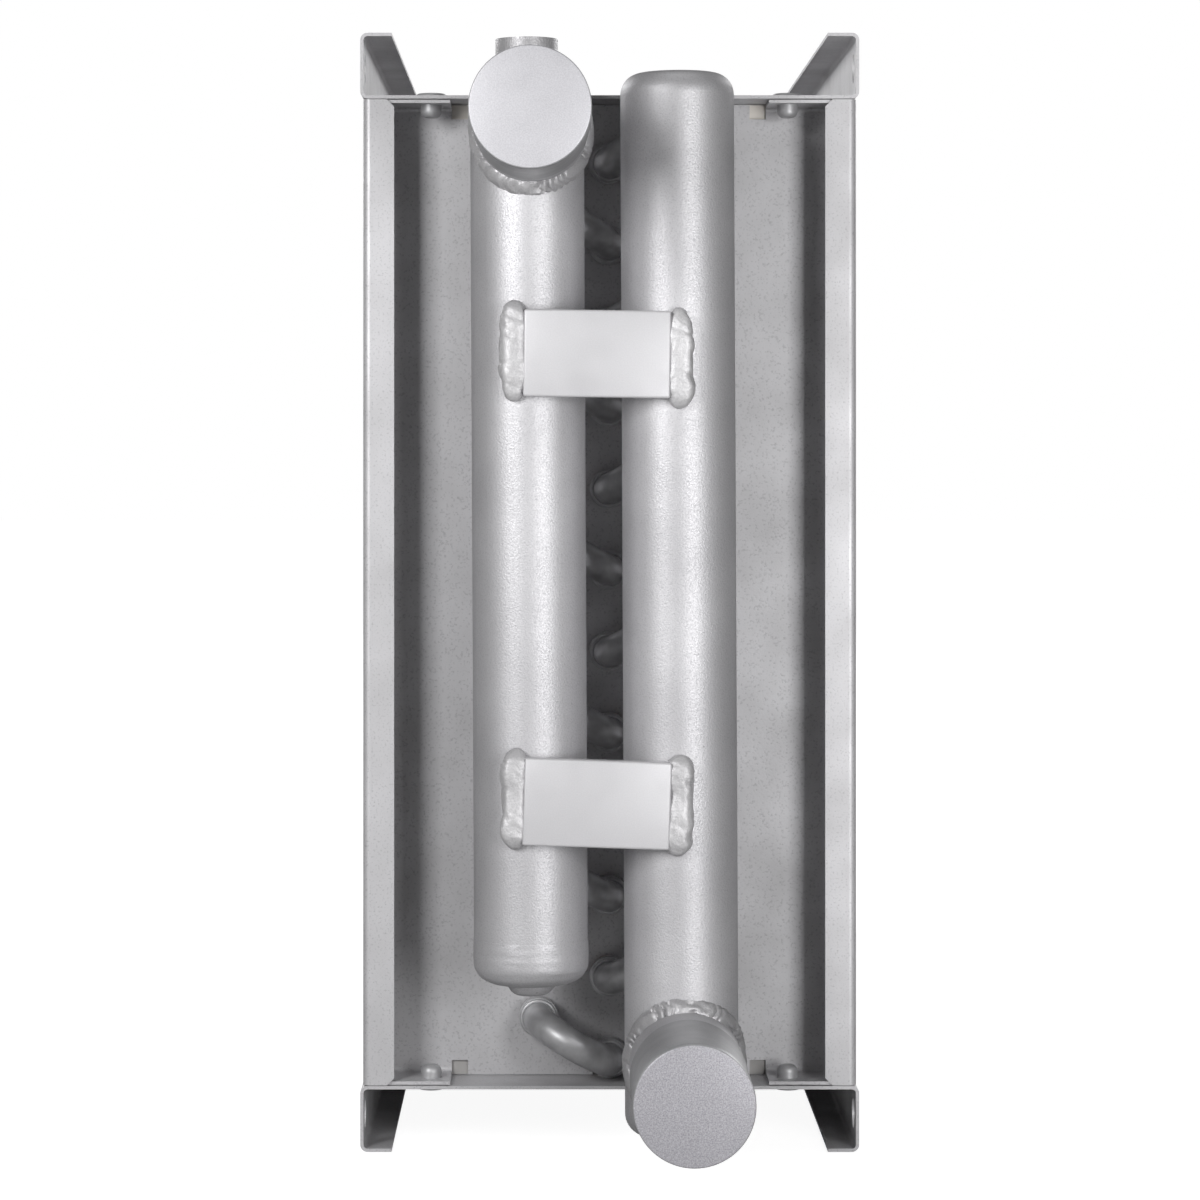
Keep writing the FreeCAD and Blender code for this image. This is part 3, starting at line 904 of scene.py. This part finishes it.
def closedEndCorners():
    # the skin from the middle of the bottom round the knuckle and up, and back inside it
    full, knuckle = coil["headerRadius"], closedEnd["knuckle"]
    flat, bend = closedEnd["flatShare"], closedEnd["bendShare"]
    corners = []
    for row in range(closedEnd["rows"]):
        part = row / (closedEnd["rows"] - 1)
        wave = 0.5 + lump((part * closedEnd["ridges"], 0, 0), 1.0, 4.0)
        fade = min(1, closedEnd["ridgeFade"] * (1 - part))
        proud = closedEnd["proud"] + closedEnd["ridge"] * wave * fade
        if part < flat:
            corners.append(((full - knuckle) * part / flat, -proud))
        elif part < flat + bend:
            turn = (part - flat) / bend * math.pi / 2
            reach = knuckle + proud
            corners.append((full - knuckle + reach * math.sin(turn),
                            knuckle - reach * math.cos(turn)))
        else:
            rise = (part - flat - bend) / (1 - flat - bend)
            corners.append((full + proud, knuckle + (closedEnd["high"] - knuckle) * rise))
    thick = closedEnd["thick"]
    return corners + [(full - thick, closedEnd["high"]), (full - thick, knuckle),
                      (full - knuckle, thick), (0, thick)]


def makeClosedEnd():
    shape = bmesh.new()
    spinProfile(shape, closedEndCorners(), closedEnd["steps"])
    for v in shape.verts:
        place = paced(v.co, closedEnd["dentPace"])
        push = 1 + closedEnd["dent"] * lump(place, closedEnd["dentFrequency"], 1.0)
        v.co.x, v.co.y = v.co.x * push, v.co.y * push
    place = Matrix.Translation((coil["returnHeaderX"], -coil["headerAxis"],
                                coil["returnHeaderBottom"]))
    bmesh.ops.transform(shape, verts=shape.verts, matrix=leanTurn @ place)
    addPiece("returnHeaderClosedEnd", shape, "silver", (),
             closedEnd["sharpFrom"])


makeClosingWeld()
makeClosedEnd()
print("closed end made")

# Braze: a thin ring where each tube leaves its cup

braze = {
    "radius": 0.00515,
    "thick": 0.0007,  # half of it
    "sides": 8,
    "steps": 32,
    "sharpFrom": 60,
}


def makeBraze():
    shape = bmesh.new()
    upright = Matrix.Rotation(math.pi / 2, 3, "X")
    for x, z in tubePlaces():
        before = set(shape.verts)
        ring = bmesh.ops.create_circle(shape, cap_ends=False, segments=braze["sides"],
                                       radius=braze["thick"])["verts"]
        edges = [edge for v in ring for edge in v.link_edges if edge.verts[0] == v]
        bmesh.ops.rotate(shape, verts=ring, cent=(0, 0, 0), matrix=upright)
        bmesh.ops.translate(shape, verts=ring, vec=(braze["radius"], 0, 0))
        fullSpin(shape, ring + edges, braze["steps"])
        fresh = [v for v in shape.verts if v not in before]
        place = Matrix.Translation((x, -coil["cupMouth"], z))
        bmesh.ops.transform(shape, verts=fresh, matrix=place @ acrossTurn)
    addPiece("brazedJoints", shape, "painted", (), braze["sharpFrom"])


makeBraze()
print("joints made")

# Studio: a pale floor that fades into a white background, and five lamps

studio = {
    "floorBelow": 0.0003,
    "floorSize": 8.0,
    "floorColor": (0.35, 0.35, 0.35, 1),
    "floorGlow": (0.93, 1.0),  # beside the coil and far from it
    "glowFade": (0.5, 1.3),
    "white": (1, 1, 1, 1),
    "ambient": 0.025,
    "mirrored": 0.11,  # how much of the white background a gloss or a glass shows
    "lampAim": (coil["middleX"], -0.2, 0.0),
    "lamps": {  # place, size and power
        "leftLamp": ((-0.3, -0.85, 0.21), (0.2, 0.34), 3.25),
        "rightLamp": ((0.37, -0.85, -0.04), (0.16, 0.5), 3.1),
        "topLamp": ((0.1, -0.2, 2.0), (1.2, 1.2), 4.5),
        "backLeftLamp": ((-1.3, 1.6, 0.8), (0.9, 0.9), 22.0),
        "backRightLamp": ((1.4, 1.6, 0.8), (0.9, 0.9), 22.0),
    },
}


def seenShare(tree):
    # 1 where the camera sees the background, and less where a gloss or a glass shows it
    path = tree.nodes.new("ShaderNodeLightPath").outputs
    shown = reckon(tree, "MAXIMUM", path["Is Glossy Ray"], path["Is Transmission Ray"])
    dimmed = reckon(tree, "MULTIPLY", shown, studio["mirrored"])
    return reckon(tree, "MAXIMUM", dimmed, path["Is Camera Ray"])


def floorFinish():
    material = bpy.data.materials.new("paleFloor")
    material.use_nodes = True
    tree = material.node_tree
    tree.nodes.clear()
    output = tree.nodes.new("ShaderNodeOutputMaterial")
    place = tree.nodes.new("ShaderNodeTexCoord").outputs["Object"]
    away = addNode(tree, "ShaderNodeVectorMath", {0: place}, operation="LENGTH").outputs["Value"]
    glow = spread(tree, away, studio["glowFade"], studio["floorGlow"])
    strength = reckon(tree, "MULTIPLY", seenShare(tree), glow)
    matte = addNode(tree, "ShaderNodeBsdfDiffuse", {"Color": studio["floorColor"]})
    light = addNode(tree, "ShaderNodeEmission", {"Color": studio["white"], "Strength": strength})
    both = addNode(tree, "ShaderNodeAddShader",
                   {0: matte.outputs["BSDF"], 1: light.outputs["Emission"]})
    tree.links.new(both.outputs["Shader"], output.inputs["Surface"])
    return material


def makeFloor():
    shape = bmesh.new()
    bmesh.ops.create_grid(shape, x_segments=1, y_segments=1, size=studio["floorSize"])
    bottom = cadBox[0][2] - studio["floorBelow"]
    bmesh.ops.translate(shape, verts=shape.verts, vec=(0, 0, bottom))
    mesh = bpy.data.meshes.new("floor")
    shape.to_mesh(mesh)
    shape.free()
    mesh.materials.append(floorFinish())
    floor = bpy.data.objects.new("floor", mesh)
    bpy.context.scene.collection.objects.link(floor)


def makeWorld():
    world = bpy.data.worlds.new("studioWorld")
    world.use_nodes = True
    tree = world.node_tree
    tree.nodes.clear()
    output = tree.nodes.new("ShaderNodeOutputWorld")
    strength = spread(tree, seenShare(tree), (0, 1), (studio["ambient"], 1))
    sky = addNode(tree, "ShaderNodeBackground", {"Color": studio["white"], "Strength": strength})
    tree.links.new(sky.outputs["Background"], output.inputs["Surface"])
    bpy.context.scene.world = world


def makeLamps():
    aim = Vector(studio["lampAim"])
    for name, (place, size, power) in studio["lamps"].items():
        light = bpy.data.lights.new(name, "AREA")
        light.shape = "RECTANGLE"
        light.size, light.size_y = size
        light.energy = power
        lamp = bpy.data.objects.new(name, light)
        lamp.location = place
        lamp.rotation_euler = (aim - Vector(place)).to_track_quat("-Z", "Y").to_euler()
        bpy.context.scene.collection.objects.link(lamp)


# the camera looks level at the connection side, along +Y
camera = {
    "place": (0.05918, -1.37, 0.04718),
    "sensor": 36,
    "lens": 108.64,
    "shift": (0.0375, -0.13583),
    "clip": (0.05, 50),
}


def makeCamera():
    data = bpy.data.cameras.new("photoCamera")
    data.sensor_width = camera["sensor"]
    data.lens = camera["lens"]
    data.shift_x, data.shift_y = camera["shift"]
    data.clip_start, data.clip_end = camera["clip"]
    eye = bpy.data.objects.new("photoCamera", data)
    eye.location = camera["place"]
    eye.rotation_euler = (math.pi / 2, 0, 0)
    bpy.context.scene.collection.objects.link(eye)
    bpy.context.scene.camera = eye


makeFloor()
makeWorld()
makeLamps()
makeCamera()
bpy.context.scene.view_settings.view_transform = "Standard"
print("studio made")
